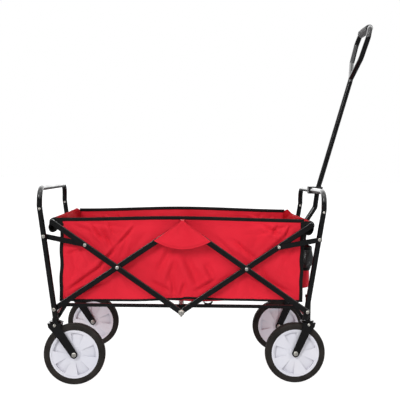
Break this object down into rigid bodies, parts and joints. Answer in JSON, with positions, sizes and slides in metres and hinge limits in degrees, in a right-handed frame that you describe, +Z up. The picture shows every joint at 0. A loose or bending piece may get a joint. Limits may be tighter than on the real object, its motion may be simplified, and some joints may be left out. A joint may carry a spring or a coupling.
{
  "type": "folding wagon",
  "caption": "Folding garden wagon with a cloth basket, a steel scissor frame, push bars, swivel front wheels and a pull handle with a D loop.",
  "frame": {"origin": "on the ground under the middle of the whole outline, on the plane of symmetry", "axes": "+X to the front, where the pull handle is, +Y to the far side, +Z up"},
  "size_m": [1.0078, 0.546, 1.0896],
  "materials": {
    "frame_paint": "black gloss powder coat",
    "zinc": "zinc plated",
    "red_cloth": "woven polyester",
    "black_cloth": "mesh and binding",
    "tyre": "matt",
    "rim": "moulded, slightly shiny",
    "black_plastic": "moulded",
    "grip": "foam"
  },
  "bodies": {
    "centre": {"lower_centre_tube": "frame_paint", "lower_centre_bolts": "zinc"},
    "bars_a": {"bar_a_near": "frame_paint", "bar_a_far": "frame_paint", "top_tube_rear": "frame_paint", "rivets_a": "zinc", "rear_hem": "red_cloth"},
    "bars_b": {"bar_b_near": "frame_paint", "bar_b_far": "frame_paint", "upper_centre_pins": "zinc"},
    "bars_c": {"bar_c_near": "frame_paint", "bar_c_far": "frame_paint", "top_tube_front": "frame_paint", "rivets_c": "zinc", "front_hem": "red_cloth"},
    "bars_d": {"bar_d_near": "frame_paint", "bar_d_far": "frame_paint"},
    "rear_frame": {"rear_push_tube": "frame_paint", "rear_lower_tube": "frame_paint", "rear_rivets": "zinc", "rear_fork_near": "frame_paint", "rear_fork_far": "frame_paint", "rear_axles": "zinc"},
    "front_frame": {"front_push_tube": "frame_paint", "front_lower_tube": "frame_paint", "front_rivets": "zinc", "stem_posts": "frame_paint", "handle_bracket": "frame_paint", "handle_pin": "zinc", "handle_clip": "black_plastic"},
    "rear_link": {"rear_links": "frame_paint"},
    "front_link": {"front_links": "frame_paint"},
    "rear_floor_bar": {"rear_floor_bars": "frame_paint"},
    "front_floor_bar": {"front_floor_bars": "frame_paint"},
    "front_fork_near": {"front_fork_near": "frame_paint", "front_axle_near": "zinc"},
    "front_fork_far": {"front_fork_far": "frame_paint", "front_axle_far": "zinc"},
    "wheel_rear_near": {"tyre_rear_near": "tyre", "rim_rear_near": "rim"},
    "wheel_rear_far": {"tyre_rear_far": "tyre", "rim_rear_far": "rim"},
    "wheel_front_near": {"tyre_front_near": "tyre", "rim_front_near": "rim"},
    "wheel_front_far": {"tyre_front_far": "tyre", "rim_front_far": "rim"},
    "handle": {"handle_tube": "frame_paint", "handle_grip": "grip"},
    "basket": {"near_wall": "red_cloth", "far_wall": "red_cloth", "front_wall": "red_cloth", "rear_wall": "red_cloth", "floor_cloth": "red_cloth", "flap_near": "red_cloth", "flap_far": "red_cloth", "pocket_bases": "red_cloth", "pocket_meshes": "black_cloth"}
  },
  "joints": [
    {"name": "fold", "type": "hinge", "parent": "centre", "child": "bars_a", "pos_m": [-0.08371, 0, 0.212], "axis": [0, 1, 0], "range_deg": [0, 40.6]},
    {"name": "bar_c_turn", "type": "hinge", "parent": "centre", "child": "bars_c", "pos_m": [-0.08371, 0, 0.212], "axis": [0, 1, 0], "range_deg": [-41.1, 0]},
    {"name": "bar_b_turn", "type": "hinge", "parent": "bars_a", "child": "bars_b", "pos_m": [-0.27101, 0, 0.34025], "axis": [0, 1, 0], "range_deg": [-81.7, 0]},
    {"name": "bar_d_turn", "type": "hinge", "parent": "bars_c", "child": "bars_d", "pos_m": [0.1036, 0, 0.34025], "axis": [0, 1, 0], "range_deg": [0, 81.7]},
    {"name": "rear_frame_turn", "type": "hinge", "parent": "bars_b", "child": "rear_frame", "pos_m": [-0.45088, 0, 0.21709], "axis": [0, 1, 0], "range_deg": [0, 41.1]},
    {"name": "front_frame_turn", "type": "hinge", "parent": "bars_d", "child": "front_frame", "pos_m": [0.28347, 0, 0.21709], "axis": [0, 1, 0], "range_deg": [-41.1, 0]},
    {"name": "rear_link_turn", "type": "hinge", "parent": "rear_frame", "child": "rear_link", "pos_m": [-0.48278, 0, 0.428], "axis": [0, 1, 0], "range_deg": [-73.47, 0]},
    {"name": "front_link_turn", "type": "hinge", "parent": "front_frame", "child": "front_link", "pos_m": [0.31537, 0, 0.428], "axis": [0, 1, 0], "range_deg": [0, 73.47]},
    {"name": "rear_floor_turn", "type": "hinge", "parent": "rear_frame", "child": "rear_floor_bar", "pos_m": [-0.4217, 0, 0.2255], "axis": [0, 1, 0], "range_deg": [-75.76, 0]},
    {"name": "front_floor_turn", "type": "hinge", "parent": "front_frame", "child": "front_floor_bar", "pos_m": [0.25429, 0, 0.2255], "axis": [0, 1, 0], "range_deg": [0, 75.76]},
    {"name": "basket_rise", "type": "slide", "parent": "centre", "child": "basket", "axis": [0, 0, 1], "range_m": [0, 0.184], "deforming": ["near_wall", "far_wall", "front_wall", "rear_wall", "floor_cloth", "flap_near", "flap_far", "pocket_bases", "pocket_meshes"]},
    {"name": "handle_swing", "type": "hinge", "parent": "front_frame", "child": "handle", "pos_m": [0.2883, 0, 0.222], "axis": [0, 1, 0], "range_deg": [0, 85]},
    {"name": "caster_near_swivel", "type": "hinge", "parent": "front_frame", "child": "front_fork_near", "pos_m": [0.2923, -0.204, 0.2], "axis": [0, 0, 1], "continuous": true},
    {"name": "wheel_front_near_spin", "type": "hinge", "parent": "front_fork_near", "child": "wheel_front_near", "pos_m": [0.25529, -0.204, 0.089], "axis": [0, 1, 0], "continuous": true},
    {"name": "wheel_rear_near_spin", "type": "hinge", "parent": "rear_frame", "child": "wheel_rear_near", "pos_m": [-0.39071, -0.248, 0.089], "axis": [0, 1, 0], "continuous": true},
    {"name": "caster_far_swivel", "type": "hinge", "parent": "front_frame", "child": "front_fork_far", "pos_m": [0.2923, 0.204, 0.2], "axis": [0, 0, 1], "continuous": true},
    {"name": "wheel_front_far_spin", "type": "hinge", "parent": "front_fork_far", "child": "wheel_front_far", "pos_m": [0.25529, 0.204, 0.089], "axis": [0, 1, 0], "continuous": true},
    {"name": "wheel_rear_far_spin", "type": "hinge", "parent": "rear_frame", "child": "wheel_rear_far", "pos_m": [-0.39071, 0.248, 0.089], "axis": [0, 1, 0], "continuous": true}
  ],
  "couplings": [
    {"joint": "bar_c_turn", "follows": "fold", "ratio": -1},
    {"joint": "bar_b_turn", "follows": "fold", "ratio": -2},
    {"joint": "bar_d_turn", "follows": "fold", "ratio": 2},
    {"joint": "rear_frame_turn", "follows": "fold", "ratio": 1},
    {"joint": "front_frame_turn", "follows": "fold", "ratio": -1},
    {"joint": "rear_link_turn", "follows": "fold", "ratio": -1.7973},
    {"joint": "front_link_turn", "follows": "fold", "ratio": 1.7973},
    {"joint": "rear_floor_turn", "follows": "fold", "ratio": -1.8537},
    {"joint": "front_floor_turn", "follows": "fold", "ratio": 1.8537},
    {"joint": "basket_rise", "follows": "fold", "m_per_rad": 0.25689}
  ]
}
